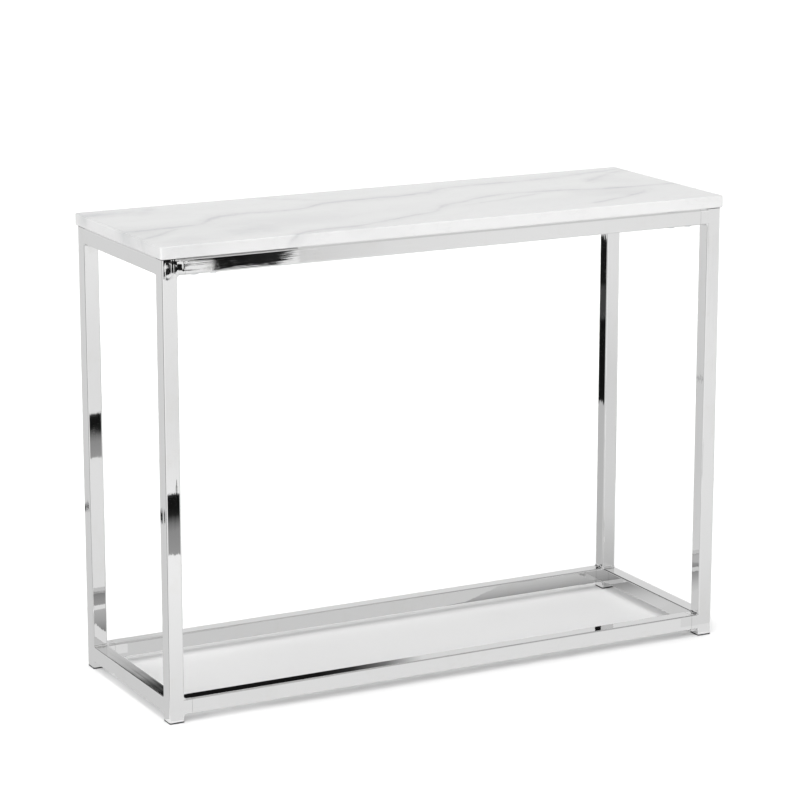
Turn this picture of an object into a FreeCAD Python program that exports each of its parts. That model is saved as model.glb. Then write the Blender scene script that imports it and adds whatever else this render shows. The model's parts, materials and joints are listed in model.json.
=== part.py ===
import FreeCAD, Part
import math
import os

# A console table: a board with a marble-effect foil on an open frame of chrome-plated square tube.
# The frame is two welded end frames, joined by four long rails that slide onto sleeves and are
# bolted from below. Sizes are in millimetres. The origin is on the floor under the middle of the
# table, X runs along its length, Y points to its back and Z points up.

Vector = FreeCAD.Vector

# Overall size, over the board
table_length = 1000.0
table_depth = 340.0
table_height = 750.0

# Board
board_thickness = 20.0
board_overhang = 3.0            # the board stands past the frame by this much on every side
foil_thickness = 0.5            # decorative foil over the top and the four edges
backing_thickness = 0.5         # sheet on the underside
board_corner_radius = 3.5       # upright corners
board_bottom_edge_radius = 3.0
board_top_edge_radius = 1.2

# Square tube of the frame
tube_size = 25.0
tube_wall = 1.2
tube_corner_radius = 2.5
bottom_rail_clearance = 13.0    # floor to the underside of the bottom rails
seat_gap = 1.0                  # frame to board, held open by the leg caps and the ring pads

# Joints between the end frames and the long rails
stub_length = 13.0              # short tube welded to the leg, which the rail continues
joint_gap = 0.3                 # hairline between a stub and its rail
sleeve_reach = 40.0             # how far a sleeve runs into its rail, from the joint
sleeve_wall = 1.5
sleeve_clearance = 0.15         # between a sleeve and the tube around it

# Welds
weld_size = 3.0                 # leg of the hollow weld in an inside corner

# Bolts: low wide heads with a hexagon socket
bolt_diameter = 6.0
bolt_head_diameter = 14.0
bolt_head_height = 2.0
bolt_head_round = 0.8
bolt_tip_chamfer = 0.8
bolt_socket_across_flats = 4.0
bolt_socket_depth = 3.0
bolt_hole_clearance = 0.3       # on the radius, in tubes and pads
thread_clearance = 0.03         # on the radius, in nuts and inserts
rail_bolt_length = 12.0
rail_bolt_inset = 19.5          # from the joint to the bolt that holds a rail on its sleeve
board_bolt_inset = 51.5         # from the joint to the bolt that holds the board
board_bolt_engagement = 11.0    # how far that bolt runs into the board

# Nuts welded inside the sleeves
nut_across_flats = 10.0
nut_height = 5.0

# Threaded inserts in the board
insert_diameter = 9.0
insert_length = 13.0
insert_flange_diameter = 12.0
insert_flange_thickness = 1.0
insert_groove_depth = 0.5
insert_groove_width = 1.2
insert_groove_count = 4

# Ring pads round the board bolts
pad_diameter = 20.0

# Feet and leg caps: ribbed plugs pushed into the tube ends
foot_thickness = 2.5            # the part of a foot that shows under its leg
foot_chamfer = 0.6
foot_plug_height = 16.0
cap_plug_height = 12.0
cap_inset = 0.4                 # leg cap flange, inside the leg's outer faces
plug_clearance = 0.6            # between the body of a plug and the tube
rib_clearance = 0.05            # between the ribs of a plug and the tube
plug_wall = 1.8
rib_thickness = 1.2
rib_pitch = 3.6
rib_count = 3

# Places that follow from the sizes above
board_bottom = table_height - board_thickness
frame_top = board_bottom - seat_gap
leg_x = table_length / 2 - board_overhang - tube_size / 2
leg_y = table_depth / 2 - board_overhang - tube_size / 2
leg_face_x = leg_x - tube_size / 2
leg_face_y = leg_y - tube_size / 2
joint_x = leg_face_x - stub_length
rail_bolt_x = joint_x - rail_bolt_inset
board_bolt_x = joint_x - board_bolt_inset
tube_bore = tube_size - 2 * tube_wall
tube_bore_radius = tube_corner_radius - tube_wall
sleeve_size = tube_bore - 2 * sleeve_clearance
sleeve_corner_radius = tube_bore_radius - sleeve_clearance
bolt_hole_radius = bolt_diameter / 2 + bolt_hole_clearance
thread_radius = bolt_diameter / 2 + thread_clearance

SIDES = {"left": -1, "right": 1}
FACES = {"front": -1, "back": 1}
LEVELS = {"top": frame_top - tube_size / 2, "bottom": bottom_rail_clearance + tube_size / 2}
UP = Vector(0, 0, 1)


def upright_edges(shape):
    return [edge for edge in shape.Edges if abs(edge.tangentAt(edge.FirstParameter).z) > 0.9]


def bar(size, radius, start, end):
    """A solid bar of square section, from start to end along one axis, with rounded long edges."""
    run = end.sub(start)
    block = Part.makeBox(size, size, run.Length, Vector(-size / 2, -size / 2, 0))
    if radius > 0:
        block = block.makeFillet(radius, upright_edges(block))
    block.Placement = FreeCAD.Placement(start, FreeCAD.Rotation(UP, run))
    return block


def tube(size, wall, radius, start, end):
    """A square tube with rounded corners, open at both ends."""
    outside = bar(size, radius, start, end)
    bore = bar(size - 2 * wall, radius - wall, start, end)
    return outside.cut(bore)


def frame_tube(start, end):
    return tube(tube_size, tube_wall, tube_corner_radius, start, end)


def hexagon(across_flats, bottom, height):
    """An upright hexagonal prism, centred over the point bottom."""
    radius = across_flats / 2 / math.cos(math.pi / 6)
    corners = []
    for i in range(7):
        angle = i * math.pi / 3
        corners.append(bottom + Vector(radius * math.cos(angle), radius * math.sin(angle), 0))
    return Part.Face(Part.makePolygon(corners)).extrude(Vector(0, 0, height))


def edges_at_height(shape, height):
    """The edges of a shape that lie flat at one height."""
    flat = []
    for edge in shape.Edges:
        box = edge.BoundBox
        if abs(box.ZMin - height) < 1e-4 and abs(box.ZMax - height) < 1e-4:
            flat.append(edge)
    return flat


def rounded_board(inset, bottom, top):
    """The board's outline moved in by inset, between two heights, with all its edges rounded."""
    length = table_length - 2 * inset
    depth = table_depth - 2 * inset
    block = Part.makeBox(length, depth, top - bottom, Vector(-length / 2, -depth / 2, bottom))
    block = block.makeFillet(board_corner_radius - inset, upright_edges(block))
    block = block.makeFillet(board_bottom_edge_radius - inset, edges_at_height(block, bottom))
    return block.makeFillet(board_top_edge_radius - inset, edges_at_height(block, top))


def board_bolt_places():
    """Where the bolts meet the board's underside."""
    places = []
    for side in SIDES.values():
        for face in FACES.values():
            places.append(Vector(side * board_bolt_x, face * leg_y, board_bottom))
    return places


def insert_outside(place):
    """The outside of a threaded insert without its grooves, which is also the hole it fills."""
    flange = Part.makeCylinder(insert_flange_diameter / 2, insert_flange_thickness, place)
    body = Part.makeCylinder(insert_diameter / 2, insert_length, place)
    return flange.fuse(body)


def threaded_insert(place):
    insert = insert_outside(place)
    insert = insert.cut(Part.makeCylinder(thread_radius, insert_length, place))
    pitch = (insert_length - insert_flange_thickness) / (insert_groove_count + 0.5)
    for i in range(insert_groove_count):
        low = place + Vector(0, 0, insert_flange_thickness + (i + 0.75) * pitch - insert_groove_width / 2)
        around = Part.makeCylinder(insert_diameter, insert_groove_width, low)
        core = Part.makeCylinder(insert_diameter / 2 - insert_groove_depth, insert_groove_width, low)
        insert = insert.cut(around.cut(core))
    return insert


def board_pieces():
    """The board's core, the foil round it and the backing sheet under it."""
    outside = rounded_board(0, board_bottom, table_height)
    core = rounded_board(foil_thickness, board_bottom + backing_thickness, table_height - foil_thickness)
    flat_length = table_length - 2 * board_bottom_edge_radius
    flat_depth = table_depth - 2 * board_bottom_edge_radius
    corner = Vector(-flat_length / 2, -flat_depth / 2, board_bottom)
    backing = Part.makeBox(flat_length, flat_depth, backing_thickness, corner)
    foil = outside.cut(core).cut(backing)
    for place in board_bolt_places():
        hole = insert_outside(place)
        core = core.cut(hole)
        backing = backing.cut(hole)
    return {"board_core": core, "board_foil": foil, "board_backing": backing}


def leg(side, face):
    x = side * leg_x
    y = face * leg_y
    return frame_tube(Vector(x, y, foot_thickness), Vector(x, y, frame_top))


def side_rail(side, height):
    x = side * leg_x
    return frame_tube(Vector(x, -leg_face_y, height), Vector(x, leg_face_y, height))


def rail_stub(side, face, height):
    y = face * leg_y
    return frame_tube(Vector(side * leg_face_x, y, height), Vector(side * joint_x, y, height))


def long_rail(face, level):
    """A front or back rail, with bolt holes near its ends."""
    height = LEVELS[level]
    end = joint_x - joint_gap
    y = face * leg_y
    rail = frame_tube(Vector(-end, y, height), Vector(end, y, height))
    underside = height - tube_size / 2
    for side in SIDES.values():
        low = Vector(side * rail_bolt_x, y, underside)
        rail = rail.cut(Part.makeCylinder(bolt_hole_radius, tube_size / 2, low))
        if level == "top":
            low = Vector(side * board_bolt_x, y, underside)
            rail = rail.cut(Part.makeCylinder(bolt_hole_radius, tube_size, low))
    return rail


def sleeve(side, face, height):
    """A smaller tube that fills the stub and reaches into the rail, with a hole for its bolt."""
    y = face * leg_y
    start = Vector(side * leg_face_x, y, height)
    end = Vector(side * (joint_x - sleeve_reach), y, height)
    body = tube(sleeve_size, sleeve_wall, sleeve_corner_radius, start, end)
    low = Vector(side * rail_bolt_x, y, height - tube_size / 2)
    return body.cut(Part.makeCylinder(bolt_hole_radius, tube_size / 2, low))


def sleeve_nut(side, face, height):
    """A nut welded over the hole inside a sleeve."""
    seat = height - sleeve_size / 2 + sleeve_wall
    low = Vector(side * rail_bolt_x, face * leg_y, seat)
    nut = hexagon(nut_across_flats, low, nut_height)
    return nut.cut(Part.makeCylinder(thread_radius, nut_height, low))


def bolt(seat, length):
    """A bolt that points up, with the underside of its head at the point seat."""
    head_low = seat - Vector(0, 0, bolt_head_height)
    head = Part.makeCylinder(bolt_head_diameter / 2, bolt_head_height, head_low)
    head = head.makeFillet(bolt_head_round, edges_at_height(head, head_low.z))
    shank = Part.makeCylinder(bolt_diameter / 2, length, seat)
    shank = shank.makeChamfer(bolt_tip_chamfer, edges_at_height(shank, seat.z + length))
    socket = hexagon(bolt_socket_across_flats, head_low, bolt_socket_depth)
    return head.fuse(shank).removeSplitter().cut(socket)


def rail_bolt(side, face, height):
    return bolt(Vector(side * rail_bolt_x, face * leg_y, height - tube_size / 2), rail_bolt_length)


def board_bolt(place):
    length = tube_size + seat_gap + board_bolt_engagement
    return bolt(place - Vector(0, 0, seat_gap + tube_size), length)


def ring_pad(place):
    low = place - Vector(0, 0, seat_gap)
    ring = Part.makeCylinder(pad_diameter / 2, seat_gap, low)
    return ring.cut(Part.makeCylinder(bolt_hole_radius, seat_gap, low))


def tube_plug(flange_size, flange_thickness, height):
    """A hollow ribbed plug that points up, with its flange just below the level z = 0."""
    flange_radius = tube_corner_radius - (tube_size - flange_size) / 2
    body_size = tube_bore - 2 * plug_clearance
    body_radius = tube_bore_radius - plug_clearance
    rib_size = tube_bore - 2 * rib_clearance
    rib_radius = tube_bore_radius - rib_clearance
    base = Vector(0, 0, 0)
    top = Vector(0, 0, height)
    plug = bar(flange_size, flange_radius, Vector(0, 0, -flange_thickness), base)
    plug = plug.fuse(bar(body_size, body_radius, base, top))
    for i in range(rib_count):
        low = height - rib_thickness - i * rib_pitch - rib_pitch / 2
        plug = plug.fuse(bar(rib_size, rib_radius, Vector(0, 0, low), Vector(0, 0, low + rib_thickness)))
    pocket = bar(body_size - 2 * plug_wall, body_radius, base, top)
    return plug.cut(pocket).removeSplitter()


def foot(side, face):
    plug = tube_plug(tube_size, foot_thickness, foot_plug_height)
    plug = plug.makeChamfer(foot_chamfer, edges_at_height(plug, -foot_thickness))
    plug.translate(Vector(side * leg_x, face * leg_y, foot_thickness))
    return plug


def leg_cap(side, face):
    plug = tube_plug(tube_size - 2 * cap_inset, seat_gap, cap_plug_height)
    plug.rotate(Vector(0, 0, 0), Vector(1, 0, 0), 180)
    plug.translate(Vector(side * leg_x, face * leg_y, frame_top))
    return plug


def corner_fill(face_point, away, leg_bar):
    """Weld metal that makes a rail's faces run on over the leg's rounded corners."""
    deep = face_point - away * tube_corner_radius
    return bar(tube_size, tube_corner_radius, deep, face_point).cut(leg_bar)


def inside_weld(corner, away, vertical, across):
    """A hollow weld in the corner between a leg and a rail, over the width of their flat faces."""
    width = tube_size - 2 * tube_corner_radius
    start = corner - across * (width / 2)
    near = start + away * weld_size
    far = start + vertical * weld_size
    share = 1 - math.sqrt(0.5)
    middle = start + (away + vertical) * (weld_size * share)
    outline = [Part.LineSegment(start, near).toShape(), Part.Arc(near, middle, far).toShape()]
    outline.append(Part.LineSegment(far, start).toShape())
    return Part.Face(Part.Wire(outline)).extrude(across * width)


def leg_welds(side, face, level):
    """The weld metal where a side rail and a stub meet one leg at one level."""
    height = LEVELS[level]
    x = side * leg_x
    y = face * leg_y
    leg_bar = bar(tube_size, tube_corner_radius, Vector(x, y, 0), Vector(x, y, frame_top))
    to_stub = Vector(-side, 0, 0)
    to_side_rail = Vector(0, -face, 0)
    fill = None
    hollow_welds = []
    for away, across in ((to_stub, Vector(0, 1, 0)), (to_side_rail, Vector(1, 0, 0))):
        face_point = Vector(x, y, height) + away * (tube_size / 2)
        piece = corner_fill(face_point, away, leg_bar)
        fill = piece if fill is None else fill.fuse(piece)
        for vertical in (UP, -UP):
            if level == "top" and vertical.z > 0:
                continue
            corner = face_point + vertical * (tube_size / 2)
            hollow_welds.append(inside_weld(corner, away, vertical, across))
    return fill.Solids + hollow_welds


def all_pieces():
    """Every piece of the table, by the name of its node."""
    pieces = board_pieces()
    rail_bolts = []
    sleeve_nuts = []
    for side_name, side in SIDES.items():
        welds = []
        for level, height in LEVELS.items():
            pieces[side_name + "_" + level + "_side_rail"] = side_rail(side, height)
        for face_name, face in FACES.items():
            corner = face_name + "_" + side_name
            pieces[corner + "_leg"] = leg(side, face)
            pieces[corner + "_foot"] = foot(side, face)
            pieces[corner + "_leg_cap"] = leg_cap(side, face)
            for level, height in LEVELS.items():
                pieces[corner + "_" + level + "_stub"] = rail_stub(side, face, height)
                pieces[corner + "_" + level + "_sleeve"] = sleeve(side, face, height)
                rail_bolts.append(rail_bolt(side, face, height))
                sleeve_nuts.append(sleeve_nut(side, face, height))
                welds += leg_welds(side, face, level)
        pieces[side_name + "_frame_welds"] = Part.makeCompound(welds)
    for face_name, face in FACES.items():
        for level in LEVELS:
            pieces[face_name + "_" + level + "_rail"] = long_rail(face, level)
    places = board_bolt_places()
    pieces["rail_bolts"] = Part.makeCompound(rail_bolts)
    pieces["sleeve_nuts"] = Part.makeCompound(sleeve_nuts)
    pieces["board_bolts"] = Part.makeCompound([board_bolt(place) for place in places])
    pieces["board_inserts"] = Part.makeCompound([threaded_insert(place) for place in places])
    pieces["ring_pads"] = Part.makeCompound([ring_pad(place) for place in places])
    return pieces


os.makedirs("parts", exist_ok=True)
for name, shape in all_pieces().items():
    shape.exportStep("parts/" + name + ".step")
    print(name, "solids", len(shape.Solids), "valid", shape.isValid(), "volume", round(shape.Volume, 1))
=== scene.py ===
# %% [markdown]
# # A chrome and marble-effect console table
# The table is an open frame of square steel tube, polished and chrome-plated, under a board covered
# with a white marble-effect foil. The sizes, the tubes, the bolts and the feet come from the design
# model, which is loaded first and never moved. Blender adds what the design model doesn't hold: the
# finishes, the dressed welds, the slight waves of polished tube, the studio and the camera.

# %% Load the design model
import bpy
import bmesh
import json
import math
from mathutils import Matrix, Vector, noise


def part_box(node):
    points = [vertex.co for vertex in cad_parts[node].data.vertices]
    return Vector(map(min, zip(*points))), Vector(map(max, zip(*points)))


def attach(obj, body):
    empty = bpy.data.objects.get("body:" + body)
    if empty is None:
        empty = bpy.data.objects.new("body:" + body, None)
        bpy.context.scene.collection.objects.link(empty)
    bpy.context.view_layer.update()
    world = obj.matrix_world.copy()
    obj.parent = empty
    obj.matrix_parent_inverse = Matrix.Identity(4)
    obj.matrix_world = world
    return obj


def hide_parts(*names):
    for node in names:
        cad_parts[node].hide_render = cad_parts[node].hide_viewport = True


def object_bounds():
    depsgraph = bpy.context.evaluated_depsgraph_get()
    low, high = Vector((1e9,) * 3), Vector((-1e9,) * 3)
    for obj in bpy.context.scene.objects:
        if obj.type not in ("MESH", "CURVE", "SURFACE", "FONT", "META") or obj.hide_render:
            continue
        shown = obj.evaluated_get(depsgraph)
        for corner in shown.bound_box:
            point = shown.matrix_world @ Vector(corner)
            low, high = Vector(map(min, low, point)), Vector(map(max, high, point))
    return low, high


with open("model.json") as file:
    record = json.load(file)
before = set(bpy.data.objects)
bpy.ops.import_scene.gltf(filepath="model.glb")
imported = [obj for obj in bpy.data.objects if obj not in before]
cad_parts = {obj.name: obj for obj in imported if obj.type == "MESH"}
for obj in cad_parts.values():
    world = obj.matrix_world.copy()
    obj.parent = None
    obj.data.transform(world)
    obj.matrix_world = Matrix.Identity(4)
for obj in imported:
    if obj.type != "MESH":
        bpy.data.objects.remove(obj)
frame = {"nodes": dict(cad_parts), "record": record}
design_low, design_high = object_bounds()
size = [round(side, 4) for side in design_high - design_low]
print("pieces:", len(frame["nodes"]), "size in metres:", size)

# %% [markdown]
# ## Measuring the frame
# Many places in this script follow from the boxes of the loaded pieces. The section of the tube, the
# faces of the legs and the height of the rails are read here once, so that the welds, the reflections
# and the veins stay in place if the design changes.

# %% Read the sizes that the rest needs
leg_low, leg_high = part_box("front_left_leg")
rail_low, rail_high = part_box("front_top_rail")
lower_low, lower_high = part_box("front_bottom_rail")
stub_low, stub_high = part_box("front_left_top_stub")
foil_low, foil_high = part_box("board_foil")
tube = leg_high.x - leg_low.x
stub_length = stub_high.x - stub_low.x
leg_centre = (leg_low + leg_high) / 2
leg_x = abs(leg_centre.x)
leg_y = abs(leg_centre.y)
outer_x = leg_x + tube / 2
inner_x = leg_x - tube / 2
outer_y = leg_y + tube / 2
inner_y = leg_y - tube / 2
board_top = foil_high.z
board_under = foil_low.z
SIDES = {"left": -1, "right": 1}
FACES = {"front": -1, "back": 1}
LEVELS = {"top": (rail_low.z + rail_high.z) / 2, "bottom": (lower_low.z + lower_high.z) / 2}
print("tube", round(tube, 4), "stub", round(stub_length, 4), "rail heights", LEVELS)

# %% [markdown]
# ## The camera
# The table is seen from its left front, a little from above, through a long lens, so its far end is
# only a little smaller than its near end. The camera comes first, because the dark and grey cards
# that show in the chrome are placed from the camera's line of sight.

# %% Place the camera
camera_place = Vector((-2.2844, -4.3268, 1.5855))
camera_turn = math.radians(27.75)
camera_drop = math.radians(13.33)
camera_data = bpy.data.cameras.new("camera")
camera_data.lens = 138.65
camera_data.sensor_width = 36
camera = bpy.data.objects.new("camera", camera_data)
camera.location = camera_place
camera.rotation_euler = (math.pi / 2 - camera_drop, 0, -camera_turn)
bpy.context.collection.objects.link(camera)
bpy.context.scene.camera = camera
bpy.context.scene.view_settings.view_transform = "Standard"
print("camera", [round(c, 3) for c in camera_place], "lens", camera_data.lens)

# %% [markdown]
# ## Writing shaders as arithmetic
# A shader is a sum: a little noise times a mask, one minus a fade. Built from single Math nodes, that
# is hard to read. The class Value wraps one output socket and gives it the usual signs, so that
# `1 - mask * 0.3` adds the Math nodes by itself. The class Finish holds one material and adds every
# other kind of node with a single method.


# %% Value: a socket that takes part in sums
class Value:
    def __init__(self, finish, socket):
        self.finish = finish
        self.socket = socket

    def math(self, operation, *numbers, clamp=False):
        settings = {"operation": operation, "use_clamp": clamp}
        return self.finish.node("ShaderNodeMath", settings, dict(enumerate(numbers)))

    def __add__(self, other):
        return self.math("ADD", self, other)

    __radd__ = __add__

    def __sub__(self, other):
        return self.math("SUBTRACT", self, other)

    def __rsub__(self, other):
        return self.math("SUBTRACT", other, self)

    def __mul__(self, other):
        return self.math("MULTIPLY", self, other)

    __rmul__ = __mul__

    def __truediv__(self, other):
        return self.math("DIVIDE", self, other)

    def __rtruediv__(self, other):
        return self.math("DIVIDE", other, self)

    def __abs__(self):
        return self.math("ABSOLUTE", self)

    def clamp(self):
        return self.math("ADD", self, 0.0, clamp=True)

    def least(self, other):
        return self.math("MINIMUM", self, other)

    def most(self, other):
        return self.math("MAXIMUM", self, other)

    def fade(self, start, end):
        """0 at start, 1 at end, smooth between; start may be the larger."""
        settings = {"interpolation_type": "SMOOTHSTEP"}
        return self.finish.node("ShaderNodeMapRange", settings, {0: self, 1: start, 2: end})


print("a Value adds, subtracts, multiplies and divides sockets, and each sign becomes one Math node")


# %% Finish: one material and its nodes
class Finish:
    def __init__(self, name):
        self.material = bpy.data.materials.new(name)
        self.material.use_nodes = True
        self.tree = self.material.node_tree
        self.shader = self.tree.nodes["Principled BSDF"]

    def node(self, kind, settings=None, inputs=None, output=0):
        """Adds a node: its settings first, then its sockets, as numbers or as Values."""
        node = self.tree.nodes.new(kind)
        for key, value in (settings or {}).items():
            if key == "stops":
                self.set_stops(node.color_ramp, value)
            elif key == "points":
                self.set_points(node.mapping, value)
            else:
                setattr(node, key, value)
        for key, value in (inputs or {}).items():
            self.put(node.inputs[key], value)
        return Value(self, node.outputs[output])

    def put(self, socket, value):
        if isinstance(value, Value):
            self.tree.links.new(value.socket, socket)
        else:
            socket.default_value = value

    def set_stops(self, ramp, stops):
        while len(ramp.elements) < len(stops):
            ramp.elements.new(0.5)
        for element, (position, colour) in zip(ramp.elements, stops):
            element.position = position
            element.color = (*colour, 1.0)

    def set_points(self, mapping, points):
        curve = mapping.curves[0]
        while len(curve.points) < len(points):
            curve.points.new(0.5, 0.5)
        for point, place in zip(curve.points, points):
            point.location = place
        mapping.update()

    def surface(self, **sockets):
        """Sets the shader's sockets; Base_Color stands for Base Color."""
        for key, value in sockets.items():
            self.put(self.shader.inputs[key.replace("_", " ")], value)

    def place(self):
        """The point on the piece, in metres, in the table's own frame."""
        return self.node("ShaderNodeTexCoord", output="Object")

    def parts(self, vector):
        """The x, y and z of a vector."""
        x = self.node("ShaderNodeSeparateXYZ", None, {0: vector}, 0)
        node = x.socket.node
        return x, Value(self, node.outputs[1]), Value(self, node.outputs[2])

    def stretch(self, vector, factors):
        settings = {"operation": "MULTIPLY"}
        return self.node("ShaderNodeVectorMath", settings, {0: vector, 1: factors})

    def noise(self, vector, scale=1.0, detail=2.0, roughness=0.5):
        """Smooth noise about 0, from -0.5 to 0.5; the scale is in lumps to the metre."""
        inputs = {"Vector": vector, "Scale": scale, "Detail": detail, "Roughness": roughness}
        return self.node("ShaderNodeTexNoise", None, inputs) - 0.5

    def mix(self, factor, first, second):
        """A blend of two colours."""
        settings = {"data_type": "RGBA"}
        return self.node("ShaderNodeMix", settings, {0: factor, 6: first, 7: second}, 2)

    def clear_from_behind(self):
        """Lets the eye through the back of a sheet, so that the table can be seen from below."""
        behind = self.node("ShaderNodeNewGeometry", output="Backfacing")
        clear = self.node("ShaderNodeBsdfTransparent")
        front = Value(self, self.shader.outputs[0])
        shown = self.node("ShaderNodeMixShader", None, {0: behind, 1: front, 2: clear})
        self.put(self.tree.nodes["Material Output"].inputs["Surface"], shown)

    def bump(self, height, strength=1.0, distance=0.001):
        """A Normal tilted as if the surface rose by the height, in units of the distance."""
        inputs = {"Strength": strength, "Distance": distance, "Height": height}
        return self.node("ShaderNodeBump", None, inputs)


def grey(level):
    return (level, level, level, 1.0)


print("a Finish holds one material; grey(0.5) is", grey(0.5))

# %% [markdown]
# ## Chrome plate
# Chrome is a mirror with almost no colour of its own. What tells it from a computer mirror is small:
# drawn tube is never quite flat, so long reflections wander a little, the polishing wheel leaves a
# faint mist of hairlines, and fingers leave smudges that show only as a softer shine. Near the welds
# the metal was ground by hand and the ripples are stronger.


# %% Make the chrome finishes
chrome_grey = 0.755
smudge_tint = (0.735, 0.73, 0.72, 1.0)
drawn_depth = 0.045


def chrome(name, grain, waviness, ripple):
    """Grain: how fast the drawn lines change along x, y and z, slow along the tube and fast across.

    Waviness and ripple are heights in millimetres: of the long waves of the tube, and of the hand
    grinding close to a weld.
    """
    finish = Finish(name)
    place = finish.place()
    x, y, z = finish.parts(place)
    long_waves = finish.noise(place, scale=14.0, detail=1.0) * waviness
    drawn_lines = finish.noise(finish.stretch(place, grain), detail=2.0) * drawn_depth
    from_leg = abs(abs(x) - leg_x).most(abs(abs(y) - leg_y))
    from_top = abs(z - LEVELS["top"])
    from_bottom = abs(z - LEVELS["bottom"])
    near_leg = from_leg.fade(tube * 1.9, tube * 0.6)
    near_level = from_top.least(from_bottom).fade(tube * 1.2, tube * 0.5)
    ground = finish.noise(place, scale=48.0, detail=1.0) * near_leg * near_level * ripple
    normal = finish.bump(long_waves + drawn_lines + ground, strength=1.0, distance=0.001)
    smudge = finish.noise(place, scale=22.0, detail=4.0, roughness=0.6).fade(0.02, 0.22)
    hairlines = finish.noise(finish.stretch(place, (60.0, 60.0, 900.0)), detail=2.0)
    roughness = (0.022 + smudge * 0.035 + hairlines * 0.015).clamp()
    colour = finish.mix(smudge * 0.5, grey(chrome_grey), smudge_tint)
    finish.surface(Base_Color=colour, Metallic=1.0, Roughness=roughness, Normal=normal)
    return finish.material


ACROSS, ALONG = 190.0, 9.0
chrome_upright = chrome("chrome_upright", (ACROSS, ACROSS, ALONG), 0.15, 0.10)
chrome_long = chrome("chrome_long", (ALONG, ACROSS, ACROSS), 0.15, 0.10)
chrome_cross = chrome("chrome_cross", (ACROSS, ALONG, ACROSS), 0.10, 0.08)
chrome_weld = chrome("chrome_weld", (ACROSS, ACROSS, ACROSS), 0.5, 0.6)
print("chrome made for uprights, long rails, side rails and welds")

# %% [markdown]
# ## The marble-effect foil
# The foil is one printed sheet, pressed over the top and down over all four edges, so a vein that
# reaches an edge runs on down it. The sheet's own coordinates are found by unfolding: a point on an
# edge lies as far past the top's outline as it lies below the top. Each large vein is a curve across
# the sheet, given by a few points; noise makes it tremble, swell and fade as a vein in stone does.

# %% Lay out the veins, each as points along and across the sheet, in metres
VEINS = [
    # name, half width, strength, halo, points
    ("upper", 0.0045, 0.80, 0.55, [(-0.52, -0.035), (-0.41, -0.023), (-0.37, -0.018), (-0.33, 0.018),
     (-0.28, 0.040), (-0.17, 0.038), (-0.11, 0.067), (-0.04, 0.073), (0.07, 0.078), (0.13, 0.108),
     (0.28, 0.113), (0.38, 0.125), (0.52, 0.150)]),
    ("upper_branch", 0.0035, 0.45, 0.30, [(-0.20, 0.178), (-0.165, 0.142), (-0.12, 0.108), (-0.06, 0.078)]),
    ("upper_spur", 0.0030, 0.45, 0.20, [(0.04, 0.046), (0.08, 0.066), (0.11, 0.092), (0.14, 0.108)]),
    ("lower", 0.0040, 0.85, 0.45, [(-0.30, -0.200), (-0.265, -0.165), (-0.235, -0.150), (-0.15, -0.140),
     (-0.10, -0.124), (-0.05, -0.102), (0.01, -0.084), (0.05, -0.043), (0.10, -0.024), (0.17, 0.006),
     (0.24, 0.010), (0.36, -0.018), (0.44, -0.026), (0.52, -0.030)]),
    ("lower_branch", 0.0030, 0.50, 0.30, [(0.06, -0.066), (0.10, -0.050), (0.14, -0.042), (0.18, -0.030),
     (0.26, -0.004)]),
    ("left", 0.0040, 0.60, 0.50, [(-0.53, -0.112), (-0.47, -0.080), (-0.43, -0.050), (-0.40, -0.024)]),
    ("right", 0.0035, 0.75, 0.40, [(0.26, -0.136), (0.32, -0.116), (0.37, -0.094), (0.41, -0.068),
     (0.43, -0.032)]),
    ("right_corner", 0.0050, 0.45, 0.60, [(0.36, 0.040), (0.42, 0.088), (0.47, 0.118), (0.53, 0.135)]),
    ("left_corner", 0.0060, 0.35, 0.60, [(-0.53, 0.118), (-0.47, 0.134), (-0.42, 0.128), (-0.36, 0.160)]),
]
SMOKE = [
    # middle, half size, strength
    ((-0.50, -0.035), (0.110, 0.070), 0.30), ((-0.44, -0.140), (0.100, 0.060), 0.20),
    ((-0.32, -0.105), (0.090, 0.040), 0.26), ((-0.25, -0.050), (0.170, 0.090), 0.14),
    ((0.36, -0.050), (0.090, 0.050), 0.24), ((0.43, 0.060), (0.070, 0.060), 0.12),
    ((-0.48, 0.140), (0.060, 0.040), 0.18), ((-0.20, -0.155), (0.090, 0.030), 0.22),
]
sheet_margin = 0.03
sheet_length = foil_high.x - foil_low.x + 2 * sheet_margin
sheet_depth = foil_high.y - foil_low.y + 2 * sheet_margin
print("sheet", round(sheet_length, 3), "by", round(sheet_depth, 3), "m;", len(VEINS), "veins")


# %% Helpers that draw a vein and a cloud
core_spread = 2.2
halo_spread = 7.5
vein_end = 0.03


def vein(finish, along, across, uneven, half_width, strength, halo, points):
    """The darkness of one vein: a thin core in a soft halo, fading at both ends.

    The two spreads are how far core and halo reach, in half widths of the vein.
    """
    run = along / sheet_length + 0.5
    curve_points = [(px / sheet_length + 0.5, py / sheet_depth + 0.5) for px, py in points]
    middle = finish.node("ShaderNodeFloatCurve", {"points": curve_points}, {1: run})
    distance = abs(across - (middle - 0.5) * sheet_depth) * uneven
    start, end = points[0][0], points[-1][0]
    inside = along.fade(start, start + vein_end) * along.fade(end, end - vein_end)
    core = distance.fade(half_width * core_spread, 0.0)
    cloud = distance.fade(half_width * halo_spread, 0.0)
    return (core * strength + cloud * halo) * inside


def smoke(finish, place, centre, size, strength):
    """A soft grey cloud in the sheet, given by its middle and its half size, in metres."""
    reach = tuple(1 / half for half in size)
    shift = tuple(-middle / half for middle, half in zip(centre, size))
    settings = {"operation": "MULTIPLY_ADD"}
    away = finish.node("ShaderNodeVectorMath", settings, {0: place, 1: (*reach, 0.0), 2: (*shift, 0.0)})
    distance = finish.node("ShaderNodeVectorMath", {"operation": "LENGTH"}, {0: away}, "Value")
    return distance.fade(1.0, 0.1) * strength


print("helpers ready: vein and smoke")


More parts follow.
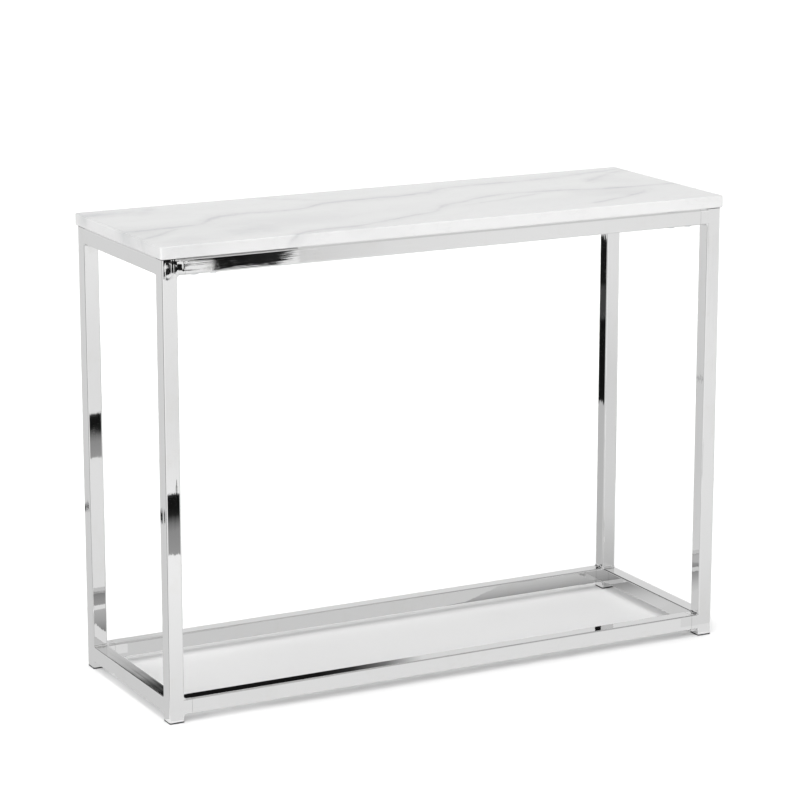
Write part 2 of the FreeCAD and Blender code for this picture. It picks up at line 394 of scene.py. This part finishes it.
# %% Make the foil
ground_white = grey(0.605)
vein_grey = (0.36, 0.365, 0.375, 1.0)
vein_weight = 0.46
cloud_weight = 0.14
hair_weight = 0.08
drift_reach = (0.10, 0.08, 0.0)


def veins_in(finish, place, x, y, z):
    """All large veins, on the unfolded sheet, patchy along their run."""
    side_x, side_y, _ = finish.parts(finish.node("ShaderNodeTexCoord", output="Normal"))
    drop = board_top - z
    wander = finish.noise(place, scale=26.0, detail=4.0, roughness=0.6) * 0.016
    tremble = finish.noise(place, scale=9.0, detail=5.0, roughness=0.6) * 0.022
    shiver = finish.noise(place, scale=70.0, detail=4.0, roughness=0.65) * 0.007
    along = x + side_x * drop + wander
    across = y + side_y * drop + tremble + shiver
    patches = finish.noise(place, scale=21.0, detail=4.0, roughness=0.65).fade(-0.22, 0.18) * 0.75 + 0.25
    uneven = (finish.noise(place, scale=13.0, detail=3.0, roughness=0.6) * 1.6 + 1.0).most(0.35)
    dark = None
    for name, half_width, strength, halo, points in VEINS:
        one = vein(finish, along, across, uneven, half_width, strength, halo, points)
        dark = one if dark is None else dark.most(one)
    return dark * patches


def smoke_in(finish, place):
    """All grey clouds; a coloured noise drifts the sheet under them, so none is a plain oval."""
    swirl = {"Vector": place, "Scale": 14.0, "Detail": 3.0}
    noise_vector = finish.node("ShaderNodeTexNoise", None, swirl, "Color")
    drift = finish.node("ShaderNodeVectorMath", {"operation": "MULTIPLY_ADD"},
                        {0: noise_vector, 1: drift_reach, 2: place})
    shifted = finish.stretch(drift, (1.0, 1.0, 0.0))
    total = None
    for centre, size, strength in SMOKE:
        drifted = [middle + far / 2 for middle, far in zip(centre, drift_reach)]
        one = smoke(finish, shifted, drifted, size, strength)
        total = one if total is None else total + one
    return total


def marble():
    finish = Finish("marble_foil")
    place = finish.place()
    x, y, z = finish.parts(place)
    dark = veins_in(finish, place, x, y, z)
    grey_parts = smoke_in(finish, place)
    long_noise = finish.noise(finish.stretch(place, (3.5, 8.0, 8.0)), detail=3.0, roughness=0.55)
    clouds = long_noise.fade(-0.12, 0.3)
    network = abs(finish.noise(finish.stretch(place, (7.0, 16.0, 16.0)), detail=6.0, roughness=0.6))
    hair = network.fade(0.016, 0.0) * hair_weight
    total = (dark * vein_weight + grey_parts + clouds * cloud_weight + hair).clamp()
    peel = finish.noise(place, scale=420.0, detail=2.0) * 0.006
    pressing = finish.noise(place, scale=45.0, detail=1.0) * 0.03
    wiped = finish.noise(place, scale=18.0, detail=4.0, roughness=0.6).fade(0.0, 0.3)
    finish.surface(Base_Color=finish.mix(total, ground_white, vein_grey),
                   Roughness=(0.07 + wiped * 0.05).clamp(),
                   Normal=finish.bump(peel + pressing, strength=1.0, distance=0.001))
    return finish.material


marble_foil = marble()
print("foil made with", len(VEINS), "large veins and", len(marble_foil.node_tree.nodes), "nodes")

# %% [markdown]
# ## The other finishes
# Most of these show only from below: the white backing sheet of the board with its fine pearled
# grain, bright zinc on the bolts, black moulded plastic on the feet and caps. They get the same care,
# because the table is looked at from every side.


# %% Make the plain finishes
def backing_sheet():
    finish = Finish("white_sheet")
    place = finish.place()
    pearl = finish.noise(place, scale=900.0, detail=2.0)
    tint = finish.noise(place, scale=12.0, detail=3.0).fade(-0.3, 0.3)
    colour = finish.mix(tint, (0.70, 0.70, 0.685, 1.0), (0.74, 0.74, 0.73, 1.0))
    normal = finish.bump(pearl, strength=0.6, distance=0.0001)
    finish.surface(Base_Color=colour, Roughness=0.42 + pearl * 0.1, Normal=normal)
    return finish.material


def fibreboard():
    finish = Finish("fibreboard")
    place = finish.place()
    fibres = finish.noise(finish.stretch(place, (300.0, 1400.0, 1400.0)), detail=4.0, roughness=0.7)
    specks = finish.noise(place, scale=1500.0, detail=1.0).fade(0.18, 0.3)
    colour = finish.mix(fibres + 0.5, (0.36, 0.25, 0.15, 1.0), (0.52, 0.39, 0.26, 1.0))
    colour = finish.mix(specks * 0.6, colour, (0.2, 0.13, 0.07, 1.0))
    normal = finish.bump(fibres, strength=0.5, distance=0.0002)
    finish.surface(Base_Color=colour, Roughness=0.85, Normal=normal)
    return finish.material


def steel(name, colour, shine, grain):
    """Bare or zinc-plated steel; shine is its roughness, grain the noise along x, y and z."""
    finish = Finish(name)
    place = finish.place()
    brushed = finish.noise(finish.stretch(place, grain), detail=3.0, roughness=0.6)
    mottled = finish.noise(place, scale=180.0, detail=4.0, roughness=0.6).fade(-0.2, 0.3)
    darker = tuple(level * 0.86 for level in colour) + (1.0,)
    tone = finish.mix(mottled, (*colour, 1.0), darker)
    roughness = (shine + mottled * 0.12 + brushed * 0.1).clamp()
    normal = finish.bump(brushed, strength=0.4, distance=0.0001)
    finish.surface(Base_Color=tone, Metallic=1.0, Roughness=roughness, Normal=normal)
    return finish.material


def black_plastic():
    finish = Finish("black_plastic")
    place = finish.place()
    pebble = finish.noise(place, scale=1300.0, detail=2.0)
    dust = finish.noise(place, scale=60.0, detail=5.0, roughness=0.7).fade(0.05, 0.3)
    colour = finish.mix(dust * 0.35, (0.006, 0.006, 0.0065, 1.0), (0.035, 0.035, 0.035, 1.0))
    roughness = (0.5 + pebble * 0.2).clamp()
    normal = finish.bump(pebble, strength=0.5, distance=0.0001)
    finish.surface(Base_Color=colour, Roughness=roughness, Normal=normal)
    return finish.material


def clear_pad():
    finish = Finish("clear_pad")
    place = finish.place()
    haze = finish.noise(place, scale=240.0, detail=3.0)
    colour = finish.mix(haze + 0.5, (0.62, 0.64, 0.65, 1.0), (0.76, 0.77, 0.78, 1.0))
    roughness = (0.3 + haze * 0.2).clamp()
    normal = finish.bump(haze, strength=0.3, distance=0.0002)
    finish.surface(Base_Color=colour, Roughness=roughness, Transmission_Weight=0.4, Normal=normal)
    return finish.material


FINISHES = {
    "marble_foil": marble_foil,
    "chrome_tube": chrome_long,
    "chrome_weld": chrome_weld,
    "white_sheet": backing_sheet(),
    "fibreboard": fibreboard(),
    "plain_steel": steel("plain_steel", (0.42, 0.42, 0.43), 0.32, (40.0, 900.0, 900.0)),
    "zinc_steel": steel("zinc_steel", (0.62, 0.63, 0.66), 0.22, (500.0, 500.0, 500.0)),
    "zinc_insert": steel("zinc_insert", (0.50, 0.49, 0.46), 0.4, (300.0, 300.0, 300.0)),
    "black_plastic": black_plastic(),
    "clear_pad": clear_pad(),
}
print("finishes:", ", ".join(FINISHES))

# %% Give every loaded piece its finish
slots = {part["node"]: part["material_slot"] for part in frame["record"]["subparts"]}
for name, piece in frame["nodes"].items():
    finish = FINISHES[slots[name]]
    if name.endswith("_leg"):
        finish = chrome_upright
    elif name.endswith("_side_rail"):
        finish = chrome_cross
    piece.data.materials.clear()
    piece.data.materials.append(finish)
print("dressed", len(slots), "pieces")

# %% [markdown]
# ## The dressed welds
# The design model holds the weld metal as plain hollow wedges. A real bead is laid by hand: it swells
# and shrinks along its run, and where it leaves the flat of the tube it sinks over the rounded edge.
# Each bead here is a hollow quarter-round section carried across the tube in small steps, with its
# size and its place changed a little at every step.


# %% Helpers that shape one bead
tube_corner = 0.0025
bead_size = 0.0056
bead_steps = 26
bead_arc_steps = 6
bead_run = 0.985
bead_bite = 0.0004
slow_swell, slow_per_metre = 0.22, 420
quick_swell, quick_per_metre = 0.06, 2100


def section_at(reach, size):
    """A hollow quarter-round section in the (away, upright) plane, sunk by reach at its corner."""
    points = [(-reach, -reach)]
    rise = reach * 0.8
    for i in range(bead_arc_steps + 1):
        angle = math.pi / 2 * i / bead_arc_steps
        points.append((size * (1 - math.sin(angle)) - rise, size * (1 - math.cos(angle)) - rise))
    return points


def sunk(across):
    """How far the rounded edge of a tube has fallen away at this distance from its middle."""
    past = max(0.0, abs(across) - (tube / 2 - tube_corner))
    return tube_corner - math.sqrt(max(0.0, tube_corner ** 2 - min(past, tube_corner) ** 2))


def add_bead(mesh, corner, away, upright, across, seed):
    """Carries the section across the tube; bead_bite keeps its corner inside the metal."""
    rings = []
    for i in range(bead_steps + 1):
        t = (i / bead_steps - 0.5) * tube * bead_run
        swell = 1 + slow_swell * noise.noise(Vector((t * slow_per_metre, seed * 3.7, 0.5)))
        swell += quick_swell * math.sin(t * quick_per_metre + seed)
        depth = sunk(t) + bead_bite
        ring = []
        for a, u in section_at(depth, bead_size * swell):
            ring.append(mesh.verts.new(corner + across * t + away * a + upright * u))
        rings.append(ring)
    count = len(rings[0])
    for first, second in zip(rings, rings[1:]):
        for i in range(count):
            j = (i + 1) % count
            mesh.faces.new((first[i], first[j], second[j], second[i]))
    mesh.faces.new(rings[0][::-1])
    mesh.faces.new(rings[-1])


def finish_mesh(mesh, name, slot, crease_angle=math.radians(40)):
    """Turns a bmesh into a piece of the table, smooth except over sharp turns."""
    bmesh.ops.recalc_face_normals(mesh, faces=mesh.faces)
    data = bpy.data.meshes.new(name)
    mesh.to_mesh(data)
    mesh.free()
    data.materials.append(FINISHES[slot])
    data.shade_smooth()
    data.set_sharp_from_angle(angle=crease_angle)
    piece = bpy.data.objects.new(name, data)
    bpy.context.collection.objects.link(piece)
    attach(piece, "root")
    return piece


print("one bead is", bead_size * 1000, "mm wide, with", bead_steps, "steps")

# %% Lay the beads in the inside corners
to_x, to_y, up = Vector((1, 0, 0)), Vector((0, 1, 0)), Vector((0, 0, 1))
bead_count = 0
for side_name, side in SIDES.items():
    beads = bmesh.new()
    for face in FACES.values():
        middle = Vector((side * leg_x, face * leg_y, 0))
        for away, across in ((-side * to_x, to_y), (-face * to_y, to_x)):
            for level, height in LEVELS.items():
                for upright in (up, -up):
                    # above the top rails there is only the board
                    if level == "top" and upright.z > 0:
                        continue
                    corner = middle + up * height + (away + upright) * (tube / 2)
                    bead_count += 1
                    add_bead(beads, corner, away, upright, across, bead_count)
    finish_mesh(beads, side_name + "_weld_beads", "chrome_weld", math.radians(60))
print("beads laid:", bead_count)

# %% [markdown]
# ## The stubs
# A long rail doesn't meet its leg directly: a short stub of the same tube is welded to the leg and
# dressed by hand, and the rail begins after a hairline joint. Hand grinding leaves the stub slightly
# lumpy, which shows as a knot in the reflection at the front left corner. The stubs are remade here
# as closed rings of tube with many small faces, so that the lumps are real.

# %% Helpers that shape a dressed stub
stub_length_steps = 18
stub_side_steps = 16
stub_corner_steps = 5
tube_wall = 0.0012
lumps_per_metre = 120
fine_lumps_per_metre = 260
ground_below = 0.35


def square_ring(size, radius):
    """Points round a square with rounded corners, and the outward direction at each point."""
    half = size / 2 - radius
    ring = []
    for quarter in range(4):
        turn = quarter * math.pi / 2
        ahead = Vector((math.cos(turn), math.sin(turn)))
        left = Vector((-ahead.y, ahead.x))
        for i in range(stub_side_steps):
            t = -half + 2 * half * i / stub_side_steps
            ring.append((ahead * (half + radius) + left * t, ahead))
        for i in range(stub_corner_steps):
            angle = math.pi / 2 * i / stub_corner_steps
            out = ahead * math.cos(angle) + left * math.sin(angle)
            ring.append((ahead * half + left * half + out * radius, out))
    return ring


def lump_at(spot, share):
    """How far the ground surface stands off the true one: nothing at the joint, most near the leg."""
    if share > 0.99:
        return 0.0
    rise = noise.noise(spot * lumps_per_metre) + 0.3 * noise.noise(spot * fine_lumps_per_metre)
    ease = math.sin(math.pi * min(1.0, share * 1.15 + 0.12))
    return (rise - ground_below) * max(0.0, ease) ** 0.8


def wall_rings(mesh, side, y, height, size, radius, lump):
    """One wall of the stub, outer or inner, as rings of points from the leg to the joint."""
    rings = []
    for i in range(stub_length_steps + 1):
        share = i / stub_length_steps
        x = side * (inner_x - stub_length * share)
        ring = []
        for place, out in square_ring(size, radius):
            spot = Vector((x, y + place.x, height + place.y))
            moved = place + out * (lump * lump_at(spot, share))
            ring.append(mesh.verts.new((x, y + moved.x, height + moved.y)))
        rings.append(ring)
    return rings


def join_rings(mesh, first, second):
    for i in range(len(first)):
        j = (i + 1) % len(first)
        mesh.faces.new((first[i], first[j], second[j], second[i]))


def stub_piece(name, side, y, height, lump):
    mesh = bmesh.new()
    outer = wall_rings(mesh, side, y, height, tube, tube_corner, lump)
    inner = wall_rings(mesh, side, y, height, tube - 2 * tube_wall, tube_corner - tube_wall, 0.0)
    for rings in (outer, inner):
        for first, second in zip(rings, rings[1:]):
            join_rings(mesh, first, second)
    for end in (0, -1):
        join_rings(mesh, outer[end], inner[end])
    return finish_mesh(mesh, name, "chrome_tube")


print("one stub has", stub_length_steps, "rings along its", round(stub_length * 1000, 2), "mm")

# %% Make the dressed stubs
ground_lump = 0.00005
knotted_lump = 0.00020
stub_count = 0
for side_name, side in SIDES.items():
    for face_name, face in FACES.items():
        for level, height in LEVELS.items():
            node = f"{face_name}_{side_name}_{level}_stub"
            lump = knotted_lump if node == "front_left_top_stub" else ground_lump
            stub = stub_piece(node + "_dressed", side, face * leg_y, height, lump)
            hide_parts(node)
            stub_count += 1
print("stubs dressed:", stub_count)

# %% [markdown]
# ## The studio
# A plain white floor reaches far behind the table. Its colour carries painted shade: it is a little greyer
# under the table. Three soft sources light it: an even sky, a broad soft light straight above, which puts
# the shade under the board, and a low one from the front left, which makes the edges of the board
# brighter than its top.


# %% Build the floor and the lights
def flat_card(name, corners, material):
    """A stage card with the given corners, in order."""
    mesh = bpy.data.meshes.new(name)
    mesh.from_pydata([tuple(corner) for corner in corners], [], [tuple(range(len(corners)))])
    mesh.materials.append(material)
    card = bpy.data.objects.new(name, mesh)
    bpy.context.collection.objects.link(card)
    return card


def floor_finish():
    """Plain white, with painted shade that makes it a little greyer where the table stands; clear from
    below.
    """
    finish = Finish("floor")
    place = finish.place()
    x, y, _ = finish.parts(place)
    grain = finish.noise(place, scale=6.0, detail=3.0)
    open_floor = finish.mix(grain + 0.5, grey(0.925), grey(0.935))
    # painted shade: the floor's own colour is made greyer under the table, on top of the shade the lights
    # cast there
    under = abs(y).fade(outer_y + 0.10, outer_y - 0.05) * abs(x).fade(outer_x + 0.06, outer_x - 0.05)
    under = under * x.fade(-0.50, -0.10)
    finish.surface(Base_Color=finish.mix(under, open_floor, grey(0.845)), Roughness=0.8,
                   Specular_IOR_Level=0.0)
    finish.clear_from_behind()
    return finish.material


floor_reach = 40.0
floor_corners = [(x * floor_reach, y * floor_reach, 0) for x, y in ((-1, -1), (1, -1), (1, 1), (-1, 1))]
flat_card("floor", floor_corners, floor_finish())

sky_brightness = 0.50
world = bpy.data.worlds.new("studio")
world.use_nodes = True
sky = world.node_tree.nodes["Background"]
sky.inputs["Color"].default_value = grey(1.0)
sky.inputs["Strength"].default_value = sky_brightness
bpy.context.scene.world = world


def broad_light(name, turn, height, spread, brightness):
    """A distant soft source: degrees left of the front, above the floor, and across its own face."""
    light = bpy.data.lights.new(name, "SUN")
    light.angle = math.radians(spread)
    light.energy = brightness * math.pi
    lamp = bpy.data.objects.new(name, light)
    lamp.rotation_euler = (math.radians(90 - height), 0, math.radians(-turn))
    lamp.visible_glossy = False
    bpy.context.collection.objects.link(lamp)


broad_light("overhead", 0, 90, 14, 0.41)
broad_light("front_left", 38, 22, 80, 1.02)
print("floor and", len(bpy.data.lights), "lights placed")

# %% [markdown]
# ## What the chrome sees
# Chrome shows its surroundings, so the surroundings are designed like the table. Cards that only a
# shiny surface can see stand round it, as the flags in a studio do: they darken or grey a
# reflection and cast no light or shade. To put a dark band on a leg, the camera's line of sight is
# mirrored at the leg's face and followed to the floor or to an upright plane: the card goes there.


# %% Helpers that follow a mirrored line of sight
def mirrored_sight(point, axis):
    sight = point - camera_place
    sight[axis] = -sight[axis]
    return sight


def meet(point, axis, plane_axis, plane_place):
    """Where the line of sight, mirrored at this point of a face, meets a plane."""
    sight = mirrored_sight(point, axis)
    return point + sight * ((plane_place - point[plane_axis]) / sight[plane_axis])


def glow(name, levels, axis=0, start=0.0, end=1.0):
    """A card's own light: one even grey, or a run of greys between two places along one axis."""
    finish = Finish(name)
    along = finish.parts(finish.place())[axis]
    run = finish.node("ShaderNodeMapRange", None, {0: along, 1: start, 2: end})
    stops = [(i / max(1, len(levels) - 1), (level,) * 3) for i, level in enumerate(levels)]
    ramp = finish.node("ShaderNodeValToRGB", {"stops": stops}, {0: run})
    finish.surface(Base_Color=grey(0.0), Specular_IOR_Level=0.0, Emission_Color=ramp, Emission_Strength=1.0)
    return finish.material


def seen_only_in_shine(card):
    card.visible_camera = False
    card.visible_diffuse = False
    card.visible_shadow = False
    card.visible_transmission = False
    card.visible_glossy = True
    return card


cards = []


def shine_card(name, corners, levels, axis=0, start=0.0, end=1.0):
    cards.append(name)
    return seen_only_in_shine(flat_card(name, corners, glow(name, levels, axis, start, end)))


def tone_card(name, axis, corners, levels, plane_axis, plane_place, along):
    """A card that fills one part of one face, given by that part's corners, in the camera's view."""
    spots = [meet(Vector(corner), axis, plane_axis, plane_place) for corner in corners]
    start = min(spot[along] for spot in spots)
    end = max(spot[along] for spot in spots)
    return shine_card(name, spots, levels, along, start, end)


shown = meet(Vector((-leg_x, -outer_y, 0.3)), 1, 2, 0.0)
print("the front left leg shows, at 0.3 m up, the floor at", [round(side, 2) for side in shown])

# %% [markdown]
# ## The tones of the floor, as the chrome shows them
# An even floor would make every face of the frame the same grey. Real chrome shows a floor that
# falls off with distance and differs from side to side. The cards here lie on the floor in thin
# layers, each with its own run of greys, so a leg changes tone slowly from its foot to its top.

# %% Lay the wide cards
layer = 0.0005
black = 0.008


def rectangle(x_low, y_low, x_high, y_high):
    return [(x_low, y_low), (x_high, y_low), (x_high, y_high), (x_low, y_high)]


def floor_card(name, outline, layers, levels, axis=0, start=0.0, end=1.0):
    """A card that lies on the floor; one on more layers covers one on fewer."""
    corners = [(x, y, layers * layer) for x, y in outline]
    return shine_card(name, corners, levels, axis, start, end)


# behind and to the left of the table the floor is greyer: the left faces show it
floor_card("grey_floor", rectangle(-6.0, -inner_y, inner_x, 9.0), 2,
           (0.84, 0.84, 0.82, 0.75), 0, -4.0, -0.5)
# to the right and the right rear it is grey too, with a dark band, for whoever walks round the table
far_greys = (0.86,) * 8
floor_card("right_floor", rectangle(outer_x + 0.02, -inner_y, 7.0, 9.0), 2,
           (0.80, 0.74, 0.02, 0.35, 0.70, *far_greys), 0, 0.55, 6.0)
rear_greys = (0.84,) * 7
floor_card("rear_floor", rectangle(-0.12, outer_y + 0.02, outer_x + 0.05, 9.0), 3,
           (0.80, 0.76, 0.70, 0.02, 0.30, 0.66, *rear_greys), 1, 0.2, 6.5)
# in front it is a little greyer near the table than far from it: the front faces show it
floor_card("front_floor", rectangle(-outer_x - 0.03, -9.0, 4.0, -outer_y - 0.01), 3,
           (1.04, 1.03, 1.01, 0.93), 1, -4.5, -0.2)
# a dark wedge and a bright field to the left front make the lines down the rounded edges of the legs
floor_card("left_wedge", [(-outer_x - 0.02, -outer_y - 0.02), (-7.0, -outer_y + 0.05), (-7.0, -4.6),
                          (-3.2, -2.2)], 4, (0.30, 0.30))
floor_card("left_bright", [(-outer_x - 0.02, -outer_y - 0.03), (-3.2, -2.3), (-5.0, -7.0),
                           (-outer_x - 0.05, -7.0)], 5, (1.12, 1.12))
print("wide cards:", ", ".join(cards))

# %% Lay the small cards inside the frame and under the board
# two darker places inside the frame show in the back left leg and in the back right corner
floor_card("inner_left", rectangle(-0.41, -inner_y, -0.26, -0.02), 12,
           (0.55, 0.45, 0.25), 1, -inner_y, -0.02)
floor_card("inner_right", [(inner_x - 0.02, -0.02), (inner_x, -0.02), (inner_x, inner_y), (0.16, inner_y)],
           12, (0.77, 0.74, 0.68, 0.58, 0.44, 0.34), 1, 0.0, inner_y)
# bright strips under the board's overhang keep the top edges of the front and left rails light
strip_height = board_under - 0.0002
strip_inward = 0.02
for name, outline in (("front_strip", rectangle(-0.27, foil_low.y, inner_x, strip_inward - outer_y)),
                      ("left_strip", rectangle(foil_low.x, -inner_y, strip_inward - outer_x, outer_y))):
    shine_card(name, [(x, y, strip_height) for x, y in outline], (0.74, 0.74))
print("cards so far:", len(cards))

# %% Give the faces of the legs their tones
tone_height = 0.004
dark_height = 0.005
line_height = 0.007


def leg_tone(name, face, middle_x, middle_y, low, high, levels, height):
    """A floor card for part of the front or left face of a leg, with levels listed from its foot up.

    It reaches a little past the face on both sides, because the waves of the tube spread the view.
    """
    spread = 0.035 if face == "front" else 0.07
    half = tube / 2
    if face == "front":
        y = middle_y - half
        ends = [(middle_x - half - spread, y), (middle_x + half + spread, y)]
        axis = 1
        levels = levels[::-1]
    else:
        x = middle_x - half
        ends = [(x, middle_y - half - spread), (x, middle_y + half + spread)]
        axis = 0
    corners = [(*ends[0], low), (*ends[1], low), (*ends[1], high), (*ends[0], high)]
    return tone_card(name, axis, corners, levels, 2, height, 1)


for name, x, y, levels in (
        ("front_left_tone", -leg_x, -leg_y,
         (0.92, 1.02, 1.10, 1.12, 1.02, 0.97, 0.95, 0.98, 1.01, 1.04, 1.07)),
        ("back_left_tone", -leg_x, leg_y,
         (0.90, 0.92, 0.94, 0.96, 0.96, 0.94, 0.94, 0.96, 0.99, 1.01, 1.02)),
        ("front_right_tone", leg_x, -leg_y,
         (0.84, 0.93, 0.97, 0.98, 0.98, 1.0, 1.0, 0.99, 0.99, 0.98, 0.95)),
        ("back_right_tone", leg_x, leg_y,
         (0.56, 0.80, 0.83, 0.83, 0.83, 0.88, 0.92, 0.95, 0.95, 0.93, 0.92))):
    leg_tone(name, "front", x, y, 0.02, 0.71, levels, tone_height)
print("cards so far:", len(cards))

# %% [markdown]
# ## Dark bands and figures
# What makes metal read as chrome is its few hard blacks: a doorway, a camera stand, a person. Each
# one is a black card, placed so that it shows in a chosen part of a face. Painting the bands on the
# metal would be simpler, but they would then stay put when the table is seen from elsewhere; these
# move over the metal as reflections do.

# %% Put the dark bands on the legs
# the front faces of the left legs show a dark band, black above and grey below
band_levels = (0.38, 0.36, 0.34, 0.32, 0.20, 0.02, black, black, black)
leg_tone("front_left_band", "front", -leg_x, -leg_y, 0.272, 0.368, band_levels, dark_height)
leg_tone("back_left_band", "front", -leg_x, leg_y, 0.352, 0.429, band_levels, dark_height)

# the black screen that the back right leg shows, with its greyer window, and the grey below it
for name, low, high, level in (("screen_low", 0.336, 0.487, black), ("screen_window", 0.487, 0.545, 0.06),
                               ("screen_high", 0.545, 0.632, 0.01), ("screen_foot", 0.012, 0.336, 0.60)):
    leg_tone(name, "left", leg_x, leg_y, low, high, (level, level), dark_height)
# a thin dark line half-way up the same face of the front right leg
leg_tone("line_right", "left", leg_x, -leg_y, 0.4400, 0.4428, (0.25, 0.25), line_height)

# small dark marks on the outer faces of the left legs
for name, y_low, y_high, low, high in (("mark_front", -0.164, -0.118, 0.321, 0.338),
                                       ("mark_back", 0.149, 0.198, 0.264, 0.275)):
    part = [(-outer_x, y, z) for y, z in rectangle(y_low, low, y_high, high)]
    tone_card(name, 0, part, (black, black), 2, dark_height, 1)
print("cards so far:", len(cards))

# %% Put the dark figure in the front top rail
# its parts are given by x and z where they show on the front of the table; the last part is the grey
# that follows the figure along the rail
room_front = -3.3
above = 0.95
for name, corners, levels in (
        ("figure", [(-0.413, 0.690), (-0.310, 0.690), (-0.272, 0.731), (-0.262, above), (-0.420, above)],
         (black, 0.01, 0.02, 0.03)),
        ("figure_left", [(-0.470, 0.7255), (-0.41, 0.7215), (-0.41, above), (-0.470, above)], (0.01, 0.01)),
        ("figure_leg", [(-0.560, 0.7110), (-0.470, 0.7050), (-0.470, above), (-0.560, above)], (0.01, 0.01)),
        ("figure_right", rectangle(-0.272, 0.690, 0.52, 0.790), (0.80, 0.93, 0.97, 0.98, 0.97, 0.96))):
    part = [(x, -outer_y, z) for x, z in corners]
    # each part stands in a plane of its own, so that no two overlap in one plane
    tone_card(name, 1, part, levels, 1, room_front + 0.002 * len(name), 0)
print("cards so far:", len(cards))

# %% Stand the dark figure behind the table
rail_top = LEVELS["bottom"] + tube / 2
behind = 2.2
card_low, card_high = 0.83, 1.03


def upright_card(name, x_low, x_high, y, z_low, z_high, levels, axis=0, start=0.0, end=1.0):
    corners = [(x, y, z) for x, z in rectangle(x_low, z_low, x_high, z_high)]
    return shine_card(name, corners, levels, axis, start, end)


def shown_behind(x, y):
    """Where the top of a bottom rail, at this place, shows the plane behind the table."""
    return meet(Vector((x, y, rail_top)), 2, 1, behind).x


# the tops of the front and left bottom rails show it
leg_line = shown_behind(-inner_x, -inner_y) - 0.02
figure_right = shown_behind(-0.05, -leg_y)
upright_card("dark_behind", leg_line, figure_right, behind, card_low, card_high,
             (black, black, black, black, black, 0.03, 0.20, 0.80), 0, leg_line, figure_right)
upright_card("dark_beside", leg_line - 0.3, leg_line, behind, 0.74, card_high,
             (0.74, 0.66, 0.60, 0.50, 0.32, 0.10, 0.01, black), 2, 0.74, 0.92)
# a small black mark near the right end of the front rail
upright_card("dark_mark", shown_behind(0.285, -leg_y), shown_behind(0.298, -leg_y), behind,
             card_low, card_high, (black, black))
# and a dark beam, which shows only as a line along the inner edge of the right bottom side rail
upright_card("dark_beam", -1.1, 0.38, 2.6, 0.62, 2.4, (0.01, 0.01))
print("cards in all:", len(cards))

# %% [markdown]
# ## The rest of the room
# Above and beyond the cards, the chrome needs walls and a ceiling. One large sphere, which only
# shine can see, gives them: light grey, with a greyer ceiling over the front and a dark band high at
# the back. It is brighter than the sky that lights the table, and doesn't change that light.

# %% Close the room with a shell
shell_radius = 20.0
wall_grey, shade_grey = grey(0.83), grey(0.03)
shell_mesh = bmesh.new()
bmesh.ops.create_uvsphere(shell_mesh, u_segments=64, v_segments=32, radius=shell_radius)
shell_data = bpy.data.meshes.new("room_shell")
shell_mesh.to_mesh(shell_data)
shell_mesh.free()
shell = bpy.data.objects.new("room_shell", shell_data)
bpy.context.collection.objects.link(shell)
seen_only_in_shine(shell)


def shell_finish():
    """Greys by direction: y and z here run from -1 to 1 over the shell."""
    finish = Finish("room_shell")
    _, y, z = finish.parts(finish.stretch(finish.place(), (1 / shell_radius,) * 3))
    grey_front = y.fade(0.05, -0.15) * z.fade(0.40, 0.55) * z.fade(0.97, 0.90)
    dark_back = y.fade(0.1, 0.4) * z.fade(0.60, 0.66) * z.fade(0.90, 0.84)
    shade = (grey_front * 0.45 + dark_back * 0.8).clamp()
    finish.surface(Base_Color=grey(0.0), Specular_IOR_Level=0.0, Emission_Strength=1.0,
                   Emission_Color=finish.mix(shade, wall_grey, shade_grey))
    return finish.material


shell_data.materials.append(shell_finish())
print("shell hung at", shell_radius, "m")
